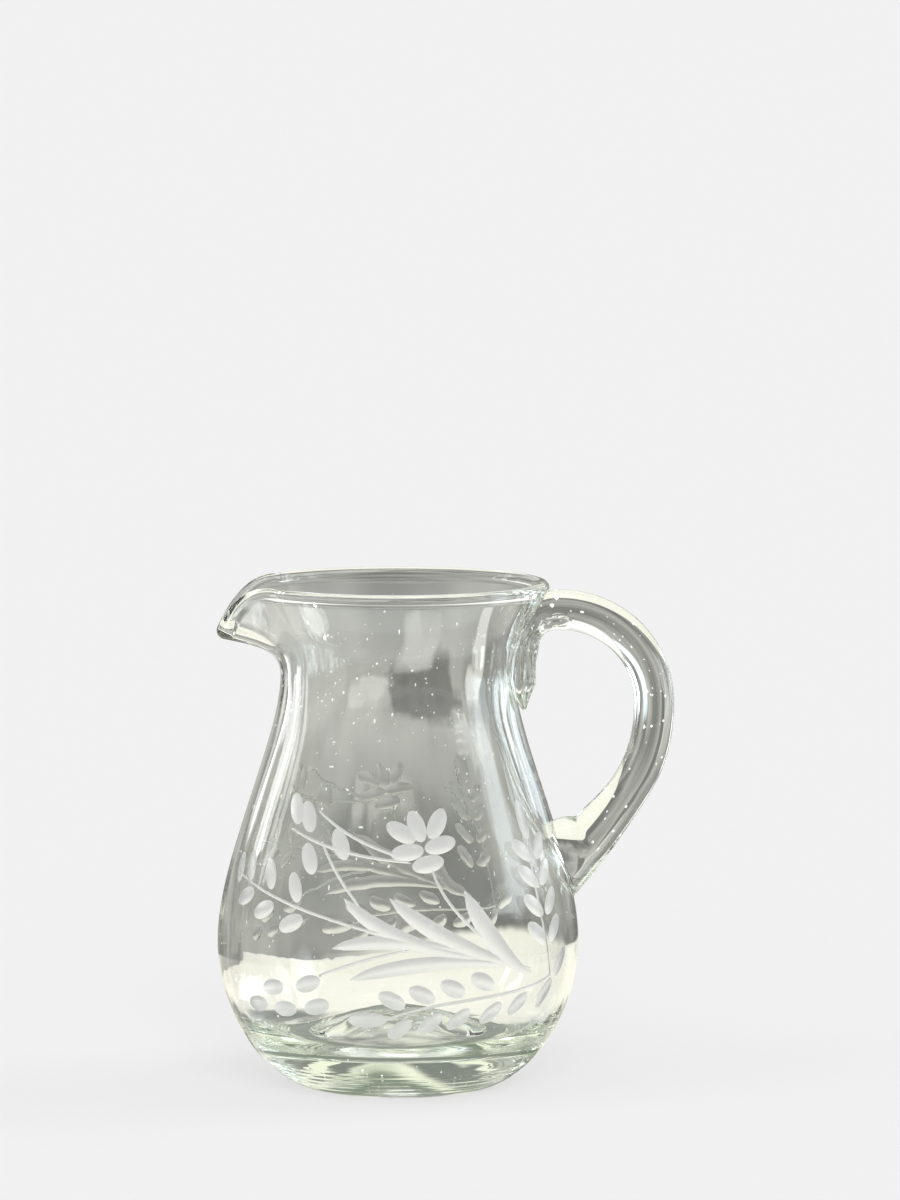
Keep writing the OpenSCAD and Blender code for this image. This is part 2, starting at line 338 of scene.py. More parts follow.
def stroke_share(cut, angle, run, margin=0):
    """0 on the middle line of a stroke, 1 on its edge, and its half width there."""
    line, half, _ = cut
    r = side_at(run)[0]
    best = np.full(angle.shape, 1e9)
    width = np.full(angle.shape, half[0])
    for i in range(len(line) - 1):
        ax, ay = (line[i, 0] - angle) * r, line[i, 1] - run
        bx, by = (line[i + 1, 0] - line[i, 0]) * r, line[i + 1, 1] - line[i, 1]
        t = np.clip(-(ax * bx + ay * by) / (bx * bx + by * by), 0, 1)
        far = np.hypot(ax + t * bx, ay + t * by)
        near = far < best
        best = np.where(near, far, best)
        width = np.where(near, mix(half[i], half[i + 1], t), width)
    return best / (width + margin), width


def near_cut(cut, reach, angle, run):
    """Which points lie within reach of a cut's own points."""
    lo, hi = cut.min(0), cut.max(0)
    swing = reach / LEAST_R
    return ((angle > lo[0] - swing) & (angle < hi[0] + swing)
            & (run > lo[1] - reach) & (run < hi[1] + reach))


def cut_depth(angle, run):
    """Depth of the decoration at points of the side."""
    depth = np.zeros(angle.shape)
    for cut in ovals:
        pick = np.nonzero(near_cut(np.array([cut[:2]]), cut[3] + CUT_REACH, angle, run))[0]
        share = oval_share(cut, angle[pick], run[pick])
        depth[pick] = np.maximum(depth[pick], OVAL_DEPTH * (1 - share ** 2))
    for cut in strokes:
        pick = np.nonzero(near_cut(cut[0], cut[1].max() + CUT_REACH, angle, run))[0]
        if len(pick):
            share, width = stroke_share(cut, angle[pick], run[pick])
            deep = cut[2] * width / cut[1].max()
            depth[pick] = np.maximum(depth[pick], deep * (1 - share ** 2))
    return depth


def side_point(angle, run):
    """Point of the decorated outer side."""
    r, z, out_r, out_z = side_at(run)
    r = r - outer_dent(angle, z)
    deep = cut_depth(angle, run)
    r, z = r - deep * out_r, z - deep * out_z
    return np.column_stack([r * np.cos(angle), r * np.sin(angle), z])


# Rows of the body's section, from under the base round the lip to the inner floor
SPOUT_SECTOR = 44
ANGLES = np.radians(np.concatenate([np.arange(0, 180 - SPOUT_SECTOR, 2),
                                    np.arange(180 - SPOUT_SECTOR, 180 + SPOUT_SECTOR),
                                    np.arange(180 + SPOUT_SECTOR, 360, 2)]))
COLUMNS = len(ANGLES)
ROW_GAP = 2.0
UNDER_STEPS, DOME_STEPS, BOWL_STEPS, FLARE_STEPS, LIP_STEPS = 48, 44, 28, 22, 20
LIP_BLEND, BLEND_ROWS, BLEND_STEPS = 25, 2, 9
LOW_RUN, LOW_GAP = 18, 0.5
BAND_LOW, BAND_HIGH = 14, 114
side_row_runs = np.concatenate([np.arange(0, LOW_RUN, LOW_GAP),
                                np.arange(LOW_RUN, SIDE_RUN[-1] - ROW_GAP / 2, ROW_GAP),
                                SIDE_RUN[-1:]])
side_rows = np.column_stack(side_at(side_row_runs)[:2])
under_rows = np.vstack([curve(PUSH_UP, UNDER_STEPS), [[FOOT_R - FOOT_W / 2, 0]]])
dome_rows = curve(DOME, DOME_STEPS)
FIRST_SIDE = len(under_rows)
band_first = int(np.searchsorted(side_row_runs, run_at(BAND_LOW)))
band_last = int(np.searchsorted(side_row_runs, run_at(BAND_HIGH)))


def section(turn):
    """Outer, lip and inner rows at an angle from the spout, each as [radius, height]."""
    reach, lean, radius, centre = lip_of(turn)
    flare = flare_of(turn, FLARE_STEPS)[1:]
    outer = np.vstack([side_rows, flare])
    roll = LIP_ROLL - LIP_BLEND
    lip = np.array([centre + along(lean - 90 + (180 + roll) * i / LIP_STEPS, radius)
                    for i in range(1, LIP_STEPS + 1)])
    grow = np.concatenate([np.zeros(len(side_rows)), np.arange(1, FLARE_STEPS + 1) / FLARE_STEPS])
    thick = mix(WALL, radius * (1 + math.cos(math.radians(LIP_ROLL))), grow)
    heading = headings(outer)
    inner = outer + thick[:, None] * heading[:, ::-1] * [-1, 1]
    # The bead runs into the wall in a small hollow
    end, rise = inner[-1 - BLEND_ROWS], heading[-1 - BLEND_ROWS]
    pull = np.linalg.norm(end - lip[-1]) / 3
    hollow = curve([lip[-1], lip[-1] + along(lean + 180 + roll, pull), end + pull * rise, end],
                   BLEND_STEPS)
    lip = np.vstack([lip, hollow[1:-1]])
    inner = inner[:-BLEND_ROWS]
    inner = inner[outer[:-BLEND_ROWS, 1] > BELLY_Z]
    side = np.array([BELLY_R - WALL, BELLY_Z])
    bowl = curve([[FLOOR_R, FLOOR_Z], [FLOOR_R + FLOOR_FULL, FLOOR_Z],
                  [side[0], BELLY_Z - BELLY_UNDER], side], BOWL_STEPS)[1:]
    return np.vstack([under_rows, outer]), lip, np.vstack([dome_rows, bowl, inner])[::-1]


def body_grid():
    """Positions of the body's rows and columns, without the decoration."""
    columns = []
    for angle in ANGLES:
        turn = abs(math.degrees(angle) - 180)
        outer, lip, inner = section(turn)
        outer, inner = outer.copy(), inner.copy()
        outer[FIRST_SIDE:, 0] -= outer_dent(angle, outer[FIRST_SIDE:, 1])
        inner[:, 0] += (INNER_RIPPLE * inner_ripple(angle, inner[:, 1])
                        * calm(inner[:, 1]) * ease(inner[:, 0] / 25))
        floor = slice(-len(dome_rows), None)
        r = inner[floor, 0]
        inner[floor, 1] += FLOOR_LUMP * lump(r, angle, 0) * ease((FLOOR_R - r) / FLOOR_LUMP_RUN)
        under = slice(0, UNDER_STEPS)
        r = outer[under, 0]
        outer[under, 1] += (KICK_LUMP * lump(r, angle, 3) * ease((KICK_LUMP_R - r) / KICK_LUMP_RUN)
                            - SCAR * scar(r, angle))
        rows = np.vstack([outer, lip, inner])
        columns.append(np.column_stack([rows[:, 0] * math.cos(angle),
                                        rows[:, 0] * math.sin(angle), rows[:, 1]]))
    return np.stack(columns, 1)


def grid_normals(grid):
    """Normals of a grid of rows whose columns close on themselves."""
    up = np.gradient(grid, axis=0)
    around = np.roll(grid, -1, 1) - np.roll(grid, 1, 1)
    normal = np.cross(around, up)
    length = np.linalg.norm(normal, axis=2)
    length[length < 1e-9] = 1
    return normal / length[:, :, None]


# Value of a seed's faces in the cut attribute
SEED = 2


class Mesh:
    """Collects points, faces and a normal for each corner, then makes one object."""

    def __init__(self):
        self.points, self.faces, self.normals, self.cut = [], [], [], []
        self.count = 0

    def add_points(self, points):
        first = self.count
        self.points.append(np.asarray(points, float))
        self.count += len(points)
        return first

    def add_faces(self, faces, normals, cut=None):
        """Faces as rows of point numbers, with a normal for each corner."""
        faces = np.asarray(faces)
        self.faces.append(faces)
        self.normals.append(np.asarray(normals, float).reshape(-1, 3))
        self.cut.append(np.zeros(len(faces)) if cut is None else np.asarray(cut, float))

    def make(self, name):
        points = np.vstack(self.points) * MM
        sizes = np.concatenate([np.full(len(f), f.shape[1]) for f in self.faces])
        corners = np.concatenate([f.ravel() for f in self.faces])
        mesh = bpy.data.meshes.new(name)
        mesh.vertices.add(len(points))
        mesh.vertices.foreach_set("co", points.ravel())
        mesh.loops.add(len(corners))
        mesh.loops.foreach_set("vertex_index", corners.astype(np.int32))
        mesh.polygons.add(len(sizes))
        starts = np.concatenate([[0], np.cumsum(sizes)[:-1]])
        mesh.polygons.foreach_set("loop_start", starts.astype(np.int32))
        mesh.update(calc_edges=True)
        mesh.polygons.foreach_set("use_smooth", np.ones(len(sizes), bool))
        cut = mesh.attributes.new("cut", "FLOAT", "FACE")
        cut.data.foreach_set("value", np.concatenate(self.cut).astype(np.float32))
        mesh.normals_split_custom_set(np.vstack(self.normals).tolist())
        seeds = (np.concatenate(self.cut) == SEED).astype(np.int32)
        mesh.polygons.foreach_set("material_index", seeds)
        piece = bpy.data.objects.new(name, mesh)
        scene.collection.objects.link(piece)
        return piece


# Seeds: small bubbles that stayed in the glass
WALL_SEEDS, WALL_SEED_LOW, WALL_SEED_HIGH, WALL_SEED_DEEP = 640, 12, 151, (1.1, 2.3)
BASE_SEEDS, BASE_SEED_R, BASE_SEED_SHARE = 34, 27, (0.35, 0.75)
ROD_SEEDS, ROD_SEED_REACH, ROD_SEED_STRETCH = 80, 0.78, (1.2, 3)


def ball():
    """Points and faces of a small round bubble, faces towards its inside."""
    made = bmesh.new()
    bmesh.ops.create_icosphere(made, subdivisions=1, radius=1)
    made.verts.ensure_lookup_table()
    points = np.array([v.co[:] for v in made.verts])
    faces = np.array([[v.index for v in f.verts][::-1] for f in made.faces])
    made.free()
    return points / np.linalg.norm(points, axis=1)[:, None], faces


BALL_POINTS, BALL_FACES = ball()


def add_seed(mesh, centre, radius, stretch, axis):
    """A bubble drawn out along an axis by stretch."""
    axis = np.array(axis) / np.linalg.norm(axis)
    lift = BALL_POINTS @ axis
    points = BALL_POINTS + np.outer(lift, axis) * (stretch - 1)
    normal = BALL_POINTS + np.outer(lift, axis) * (1 / stretch - 1)
    normal = -normal / np.linalg.norm(normal, axis=1)[:, None]
    first = mesh.add_points(np.array(centre) + radius * points)
    mesh.add_faces(BALL_FACES + first, normal[BALL_FACES], np.full(len(BALL_FACES), SEED))


# The blown body
def add_band(mesh, first):
    """The decorated band of the outer side, cut along the outlines of the decoration."""
    plane, edges, owner = [], [], []

    def add_line(points, closed):
        start = len(plane)
        plane.extend(points)
        owner.extend([-1] * len(points))
        edges.extend((start + i, start + i + 1) for i in range(len(points) - 1))
        if closed:
            edges.append((start + len(points) - 1, start))

    def oval_ring(cut, share, steps):
        at, run, tilt, half_l, half_w = cut
        r = float(side_at(run)[0])
        for i in range(steps):
            a = math.tau * i / steps
            x, y = share * half_l * math.cos(a), share * half_w * math.sin(a)
            yield ((at + (x * math.cos(tilt) - y * math.sin(tilt)) / r) * CHART_R,
                   run + x * math.sin(tilt) + y * math.cos(tilt))

    for cut in ovals:
        for share, steps in OVAL_RINGS:
            add_line(list(oval_ring(cut, share, steps)), True)
    for line, half, _ in strokes:
        r = side_at(line[:, 1])[0]
        heading = np.gradient(line, axis=0) * np.column_stack([r, np.ones(len(r))])
        heading /= np.linalg.norm(heading, axis=1)[:, None]
        left = np.column_stack([-heading[:, 1], heading[:, 0]])
        for share in (1, 0.5):
            sides = []
            for side in (share, -share):
                move = left * (half * side)[:, None]
                sides.append(np.column_stack([(line[:, 0] + move[:, 0] / r) * CHART_R,
                                              line[:, 1] + move[:, 1]]))
            add_line(np.vstack([sides[0], sides[1][::-1]]).tolist(), True)
        if half.max() > 1:
            add_line(np.column_stack([line[1:-1, 0] * CHART_R, line[1:-1, 1]]).tolist(), False)

    # Grid points that are clear of the cuts, and both rims of the band
    runs = side_row_runs[band_first:band_last + 1]
    span = np.append(ANGLES, math.tau)
    flat_angle, flat_run = (m.ravel() for m in np.meshgrid(span, runs))
    crowded = np.zeros(flat_angle.shape, bool)
    for cut in ovals:
        pick = np.nonzero(near_cut(np.array([cut[:2]]), cut[3] + 2, flat_angle, flat_run))[0]
        crowded[pick] |= oval_share(cut, flat_angle[pick], flat_run[pick], CLEAR_MARGIN) < 1
    for cut in strokes:
        pick = np.nonzero(near_cut(cut[0], cut[1].max() + 2, flat_angle, flat_run))[0]
        if len(pick):
            share = stroke_share(cut, flat_angle[pick], flat_run[pick], CLEAR_MARGIN)[0]
            crowded[pick] |= share < 1
    for k, (a, s) in enumerate(zip(flat_angle, flat_run)):
        row, column = divmod(k, COLUMNS + 1)
        if not crowded[k]:
            plane.append((a * CHART_R, s))
            owner.append((band_first + row) * COLUMNS + column % COLUMNS)

    made = delaunay_2d_cdt([Vector(p) for p in plane], edges, [], 0, 1e-5, True)
    flat = np.array([v[:] for v in made[0]])
    faces = np.array([f for f in made[2] if len(f) == 3])
    angle, run = flat[:, 0] / CHART_R, flat[:, 1]
    points = side_point(angle, run)
    number = np.empty(len(flat), int)
    new = []
    for i, sources in enumerate(made[3]):
        own = max([owner[s] for s in sources], default=-1)
        if own >= 0:
            number[i] = first + FIRST_SIDE * COLUMNS + own
        else:
            number[i] = mesh.count + len(new)
            new.append(points[i])
    mesh.add_points(new)

    middle_angle, middle_run = angle[faces].mean(1), run[faces].mean(1)
    finish = np.where(np.sin(middle_angle) > 0, FAR_FINISH, 1)
    cut = (cut_depth(middle_angle, middle_run) > CUT_EDGE) * finish
    # Each corner's normal is taken just inside its own face, so the cuts have crisp edges
    inward = 0.2
    at = mix(angle[faces], middle_angle[:, None], inward).ravel()
    up = mix(run[faces], middle_run[:, None], inward).ravel()
    step = 0.03
    across = side_point(at + step / CHART_R, up) - side_point(at - step / CHART_R, up)
    along_side = side_point(at, up + step) - side_point(at, up - step)
    normal = np.cross(across, along_side)
    normal /= np.linalg.norm(normal, axis=1)[:, None]
    mesh.add_faces(number[faces], normal, cut)


def blown_body():
    mesh = Mesh()
    grid = body_grid()
    normals = grid_normals(grid)
    rows = len(grid)
    normals[0] = [0, 0, -1]
    normals[-1] = [0, 0, 1]
    first = mesh.add_points(grid.reshape(-1, 3))
    number = first + np.arange(rows * COLUMNS).reshape(rows, COLUMNS)
    flat_normals = normals.reshape(-1, 3)
    low, high = FIRST_SIDE + band_first, FIRST_SIDE + band_last
    right = np.roll(number, -1, 1)
    for i in range(1, rows - 2):
        if not low <= i < high:
            quads = np.stack([number[i], right[i], right[i + 1], number[i + 1]], 1)
            mesh.add_faces(quads, flat_normals[quads - first])
    under = np.stack([number[0], right[1], number[1]], 1)
    under[:, 0] = number[0, 0]
    mesh.add_faces(under, flat_normals[under - first])
    floor = np.stack([number[-2], right[-2], number[-1]], 1)
    floor[:, 2] = number[-1, 0]
    mesh.add_faces(floor, flat_normals[floor - first])
    add_band(mesh, first)

    rng = random.Random(21)
    low, high = (int(np.searchsorted(PLAIN_LINE[:, 1], z)) for z in (WALL_SEED_LOW, WALL_SEED_HIGH))
    plain_run = run_of(PLAIN_LINE)
    plain_out = headings(PLAIN_LINE)[:, ::-1] * [1, -1]
    for _ in range(WALL_SEEDS):
        angle = rng.uniform(0, math.tau)
        at = int(np.searchsorted(plain_run, rng.uniform(plain_run[low], plain_run[high])))
        (r, z), (out_r, out_z) = PLAIN_LINE[at], plain_out[at]
        if z > NECK_Z and abs(math.degrees(angle) - 180) < SPOUT_SECTOR:
            continue
        deep = rng.uniform(*WALL_SEED_DEEP)
        r, z = r - deep * out_r, z - deep * out_z
        size = 0.13 + 0.28 * rng.random() ** 2.5
        centre = (r * math.cos(angle), r * math.sin(angle), z)
        axis = (-out_z * math.cos(angle), -out_z * math.sin(angle), out_r)
        add_seed(mesh, centre, size, 1 + 2.2 * rng.random() ** 5, axis)
    under, dome = curve(PUSH_UP, 200), curve(DOME, 200)
    for _ in range(BASE_SEEDS):
        angle, r = rng.uniform(0, math.tau), BASE_SEED_R * math.sqrt(rng.random())
        low_z, high_z = (np.interp(r, line[:, 0], line[:, 1]) for line in (under, dome))
        z = mix(low_z, high_z, rng.uniform(*BASE_SEED_SHARE))
        centre = (r * math.cos(angle), r * math.sin(angle), z)
        add_seed(mesh, centre, 0.15 + 0.25 * rng.random() ** 2, 1, (0, 0, 1))
    return mesh.make("blown_body_glass")


# The applied handle
ROUND_PULL = 0.5523
SINK_LENGTH = 14
TAIL_STEPS, FOLD_STEPS, LOOP_STEPS, SINK_STEPS = 60, 60, 100, 30


def handle_path():
    """Centre line of the handle as [x, z], with the stretch that each point belongs to."""
    crest_z = HEIGHT - CREST_DROP
    fold_z = crest_z - FOLD_R
    loop_x = HANDLE_REACH - ROD_R
    heights = np.linspace(TAIL_Z, fold_z, TAIL_STEPS)
    tail = np.column_stack([body_r(heights) + TAIL_LIFT, heights])
    fold_start = tail[-1]
    fold_end = fold_start + [FOLD_R, FOLD_R]
    pull = ROUND_PULL * FOLD_R
    fold = curve([fold_start, fold_start + [0, pull], fold_end - [pull, 0], fold_end], FOLD_STEPS)
    loop = curve([fold_end, fold_end + [CREST_FULL, 0], [loop_x, LOOP_Z + LOOP_OVER],
                  [loop_x, LOOP_Z]], LOOP_STEPS)
    landing = np.array([body_r(LANDING_Z), LANDING_Z])
    down = curve([[loop_x, LOOP_Z], [loop_x, LOOP_Z - LOOP_UNDER],
                  landing + along(LANDING_LEAN, LANDING_FULL), landing], LOOP_STEPS)
    sunk = landing - np.outer(np.linspace(0, SINK_LENGTH, SINK_STEPS), along(LANDING_LEAN, 1))
    stretches = (tail, fold[1:], loop[1:], down[1:], sunk[1:])
    stage = np.concatenate([k + np.arange(1, len(s) + 1) / len(s) for k, s in enumerate(stretches)])
    return np.vstack(stretches), stage, landing


def along3(direction):
    """A direction of the handle's own plane, in space."""
    return np.array([direction[0], 0, direction[1]])


LOBE_RISE, LOBE_LONG, LOBE_ROUND, LOBE_TURN = 1.0, 7.5, 20, 60
LOBE_STAGE, LOBE_SLANT, LOBE_FLAT, LOBE_EDGE = 1.85, 0.35, 0.72, 0.22
FINE_LINES, FINE_DEPTH, LINE_SWAY, LINE_SWAY_RUN = 26, 0.16, 0.12, 2.7
GOB_STAGE, LANDING_STAGE, GOB_BLEND = 3.3, 3.2, 10
PATCH_RINGS = (0.75, 0.5, 0.25, 0.04)
HALVINGS = 30


def lobe(at, stage, a):
    """Height of the soft glass that lapped over on both sides of the fold."""
    middle = np.interp(LOBE_STAGE, stage, at)
    long = (at - middle)[:, None] / LOBE_LONG
    off = np.abs(np.degrees((a + math.pi) % math.tau - math.pi))
    around = (off - LOBE_TURN)[None, :] / LOBE_ROUND
    around = around - LOBE_SLANT * long
    return LOBE_RISE * (1 - ease((np.hypot(long, around) - LOBE_FLAT) / LOBE_EDGE))


def applied_handle():
    mesh = Mesh()
    sides, gap, sink = 96, 0.7, 0.55
    path, stage, landing = handle_path()
    run = run_of(path)
    at = np.linspace(0, run[-1], round(run[-1] / gap) + 1)
    line = np.column_stack([np.interp(at, run, path[:, k]) for k in (0, 1)])
    stage = np.interp(at, run, stage)
    d = headings(line)
    out = np.column_stack([d[:, 1], -d[:, 0]])

    # Half thickness and half width of the section
    fold_share = ease(stage - 1)
    spread = ease(2 * (stage - 3) - 1)
    thick = mix(TAIL_T, 2 * ROD_R, fold_share) / 2 + (LANDING_T / 2 - ROD_R) * spread
    wide = mix(TAIL_W, 2 * ROD_R, fold_share) / 2 + (LANDING_T / 2 - ROD_R) * spread / 2
    tip_share = mix(TIP_LEFT, 1, np.minimum(1, at / TIP_LENGTH))
    thick, wide = thick * tip_share, wide * tip_share
    groove = GROOVE_DEPTH * (1 - fold_share) * tip_share

    a = np.arange(sides) * math.tau / sides
    swing = a[None, :] + LINE_SWAY * np.sin(at / LINE_SWAY_RUN)[:, None]
    cut = groove[:, None] * (1 - np.abs(np.cos(GROOVES / 2 * swing))) ** 1.5
    fine = FINE_DEPTH * ((1 - fold_share) * tip_share)[:, None]
    cut += fine * (0.5 + 0.5 * np.sin(FINE_LINES * swing))
    cut = cut - lobe(at, stage, a)
    u = (thick[:, None] - cut) * np.cos(a)[None, :]
    v = (wide[:, None] - cut) * np.sin(a)[None, :]
    # The gob squeezed out above the landing swells the section there
    gob = landing + [0, GOB_RISE]
    to_gob = gob - line
    ahead = (to_gob * d).sum(1)
    beside = (to_gob * out).sum(1)
    radius = np.sqrt(np.clip(GOB_R ** 2 - ahead ** 2, 0, None))
    for i in np.nonzero((radius > 0.5) & (stage > GOB_STAGE))[0]:
        c, s = np.cos(a), np.sin(a)
        far = beside[i] * c + np.sqrt(np.clip(radius[i] ** 2 - (beside[i] * s) ** 2, 0, None))
        own = np.hypot(u[i], v[i])
        both = (own ** GOB_BLEND + np.clip(far, 0, None) ** GOB_BLEND) ** (1 / GOB_BLEND)
        turn = np.arctan2(v[i], u[i])
        u[i], v[i] = both * np.cos(turn), both * np.sin(turn)
    x = line[:, 0][:, None] + u * out[:, 0][:, None]
    z = line[:, 1][:, None] + u * out[:, 1][:, None]
    grid = np.stack([x, v, z], 2)
    normals = grid_normals(grid)

    # Where the handle meets the body, it sinks a little way into the glass and stops
    limit = body_r(grid[:, :, 2]) - sink
    far = np.hypot(grid[:, :, 0], grid[:, :, 1])
    inside = far < limit
    fixed = grid.copy()
    scale = np.where(inside, limit / np.maximum(far, 1e-6), 1)
    fixed[:, :, 0] *= scale
    fixed[:, :, 1] *= scale
    landed = inside & (stage > LANDING_STAGE)[:, None]
    for k in range(sides):
        wet = np.nonzero(landed[:, k])[0]
        if len(wet):
            i = wet[0]
            before, after = grid[i - 1, k], grid[i, k]
            lo, hi = 0.0, 1.0
            for _ in range(HALVINGS):
                t = (lo + hi) / 2
                p = mix(before, after, t)
                if math.hypot(p[0], p[1]) < body_r(p[2]) - sink:
                    hi = t
                else:
                    lo = t
            fixed[i:, k] = mix(before, after, hi)
    # The rings past the edge of the landing close it with a patch that follows the body
    close = int(np.nonzero(landed.all(1))[0][0])
    edge = fixed[close].copy()
    middle = edge.mean(0)
    patch = []
    for share in PATCH_RINGS:
        ring = mix(middle, edge, share)
        far = np.hypot(ring[:, 0], ring[:, 1])
        ring[:, :2] *= ((body_r(ring[:, 2]) - sink) / far)[:, None]
        patch.append(ring)
    fixed = np.concatenate([fixed[:close + 1], np.array(patch)])
    last_normals = np.repeat(normals[close:close + 1], len(patch), 0)
    normals = np.concatenate([normals[:close + 1], last_normals])
    contact = np.concatenate([inside[:close + 1], np.ones((len(patch), sides), bool)])

    rows = len(fixed)
    first = mesh.add_points(fixed.reshape(-1, 3))
    number = first + np.arange(rows * sides).reshape(rows, sides)
    right = np.roll(number, -1, 1)
    flat = fixed.reshape(-1, 3)
    flat_normals = normals.reshape(-1, 3)
    wet_point = contact.ravel()
    inward = -flat * [1, 1, 0]
    inward /= np.linalg.norm(inward, axis=1)[:, None]
    for i in range(rows - 1):
        quads = np.stack([number[i], right[i], right[i + 1], number[i + 1]], 1)
        width = np.linalg.norm(flat[quads[:, 0]] - flat[quads[:, 3]], axis=1)
        width = np.maximum(width, np.linalg.norm(flat[quads[:, 1]] - flat[quads[:, 2]], axis=1))
        quads = quads[width > 1e-5]
        wet = wet_point[quads - first].all(1)
        corner = np.where(wet[:, None, None], inward[quads - first], flat_normals[quads - first])
        mesh.add_faces(quads, corner)
    for ring, turn in ((0, -1), (rows - 1, 1)):
        end = number[ring][::turn]
        centre = mesh.add_points([flat[end - first].mean(0)])
        fan = np.stack([end, np.roll(end, -1), np.full(sides, centre)], 1)
        normal = -along3(d[0]) if ring == 0 else inward[number[ring] - first].mean(0)
        mesh.add_faces(fan, np.broadcast_to(normal, (sides, 3, 3)))

    rng = random.Random(5)
    for _ in range(ROD_SEEDS):
        i = rng.randrange(12, close - 24)
        reach = ROD_SEED_REACH * math.sqrt(rng.random())
        a = rng.uniform(0, math.tau)
        u0, v0 = reach * thick[i] * math.cos(a), reach * wide[i] * math.sin(a)
        centre = (line[i, 0] + u0 * out[i, 0], v0, line[i, 1] + u0 * out[i, 1])
        if math.hypot(centre[0], centre[1]) > body_r(centre[2]) + 1:
            size = 0.12 + 0.22 * rng.random() ** 2
            add_seed(mesh, centre, size, rng.uniform(*ROD_SEED_STRETCH), along3(d[i]))
    return mesh.make("applied_handle_glass")


# Glass
GLASS_TINT, GLASS_DENSITY = (0.7, 0.975, 0.48), 3.2
SMOOTH, SATIN, SATIN_GRAIN = 0.012, (0.36, 0.52), 900
CUT_CLEAR, CLEAR_FROM = 0.62, 0.8


def glass(name):
    """Clear glass, satin where the cut attribute is 1."""
    made = bpy.data.materials.new(name)
    made.use_nodes = True
    nodes, links = made.node_tree.nodes, made.node_tree.links
    shader = nodes["Principled BSDF"]
    shader.inputs["Base Color"].default_value = (0.985, 0.992, 0.985, 1)
    shader.inputs["IOR"].default_value = 1.5
    shader.inputs["Transmission Weight"].default_value = 1
    shader.inputs["Roughness"].default_value = SMOOTH
    mask = nodes.new("ShaderNodeAttribute")
    mask.attribute_name = "cut"
    grain = nodes.new("ShaderNodeTexNoise")
    grain.inputs["Scale"].default_value = SATIN_GRAIN
    grain.inputs["Detail"].default_value = 3
    rough = nodes.new("ShaderNodeMapRange")
    rough.inputs["To Min"].default_value = SMOOTH
    links.new(mask.outputs["Fac"], rough.inputs["Value"])
    satin = nodes.new("ShaderNodeMapRange")
    satin.inputs["To Min"].default_value, satin.inputs["To Max"].default_value = SATIN
    links.new(grain.outputs["Fac"], satin.inputs["Value"])
    links.new(satin.outputs["Result"], rough.inputs["To Max"])
    links.new(rough.outputs["Result"], shader.inputs["Roughness"])
    clear = nodes.new("ShaderNodeMapRange")
    clear.inputs["From Min"].default_value = CLEAR_FROM
    clear.inputs["To Min"].default_value = 1
    clear.inputs["To Max"].default_value = CUT_CLEAR
    links.new(mask.outputs["Fac"], clear.inputs["Value"])
    links.new(clear.outputs["Result"], shader.inputs["Transmission Weight"])
    absorb = nodes.new("ShaderNodeVolumeAbsorption")
    absorb.inputs["Color"].default_value = (*GLASS_TINT, 1)
    absorb.inputs["Density"].default_value = GLASS_DENSITY
    links.new(absorb.outputs["Volume"], nodes["Material Output"].inputs["Volume"])
    return made


def bubble():
    """Pale seeds that glow a little: painted glints, standing in for light caught in the bubbles."""
    made = bpy.data.materials.new("seed_painted_glow")
    made.use_nodes = True
    shader = made.node_tree.nodes["Principled BSDF"]
    shader.inputs["Base Color"].default_value = (0.9, 0.92, 0.9, 1)
    shader.inputs["Roughness"].default_value = 0.2
    # Painted glow: the seeds give out a little light of their own, as painted glints
    shader.inputs["Emission Color"].default_value = (1, 1, 0.98, 1)
    shader.inputs["Emission Strength"].default_value = 0.75
    return made


seed_glow_finish = bubble()
body = blown_body()
body.data.materials.append(glass("blown_clear_glass"))
body.data.materials.append(seed_glow_finish)
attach(body, "root")
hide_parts("blown_body")

handle = applied_handle()
handle.data.materials.append(glass("rod_clear_glass"))
handle.data.materials.append(seed_glow_finish)
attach(handle, "root")
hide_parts("applied_handle")

# Studio: pale floor, pale world, soft lamps, and cards that only the glass shows
PALE, ROOM_LIGHT, FLOOR_GLOW, FLOOR_HALF = 0.864, 0.52, 0.75, 300
CARD_STEPS = 48


def seen_by_eye(nodes, links):
    """1 for rays that show the background: seen directly, mirrored or through glass."""
    path = nodes.new("ShaderNodeLightPath")
    total = path.outputs["Is Camera Ray"]
    for name in ("Is Glossy Ray", "Is Transmission Ray"):
        add = nodes.new("ShaderNodeMath")
        add.operation = "MAXIMUM"
        links.new(total, add.inputs[0])
        links.new(path.outputs[name], add.inputs[1])
        total = add.outputs[0]
    return total


world = bpy.data.worlds.new("pale_room")
scene.world = world
world.use_nodes = True
nodes, links = world.node_tree.nodes, world.node_tree.links
nodes.clear()
strength = nodes.new("ShaderNodeMapRange")
strength.inputs["To Min"].default_value = ROOM_LIGHT
strength.inputs["To Max"].default_value = PALE
links.new(seen_by_eye(nodes, links), strength.inputs["Value"])
sky = nodes.new("ShaderNodeBackground")
sky.inputs["Color"].default_value = (1, 1, 1, 1)
links.new(strength.outputs["Result"], sky.inputs["Strength"])
links.new(sky.outputs[0], nodes.new("ShaderNodeOutputWorld").inputs[0])


def stage_mesh(name, points, faces, material):
    mesh = bpy.data.meshes.new(name)
    mesh.from_pydata(points, [], faces)
    mesh.materials.append(material)
    made = bpy.data.objects.new(name, mesh)
    scene.collection.objects.link(made)
    return made


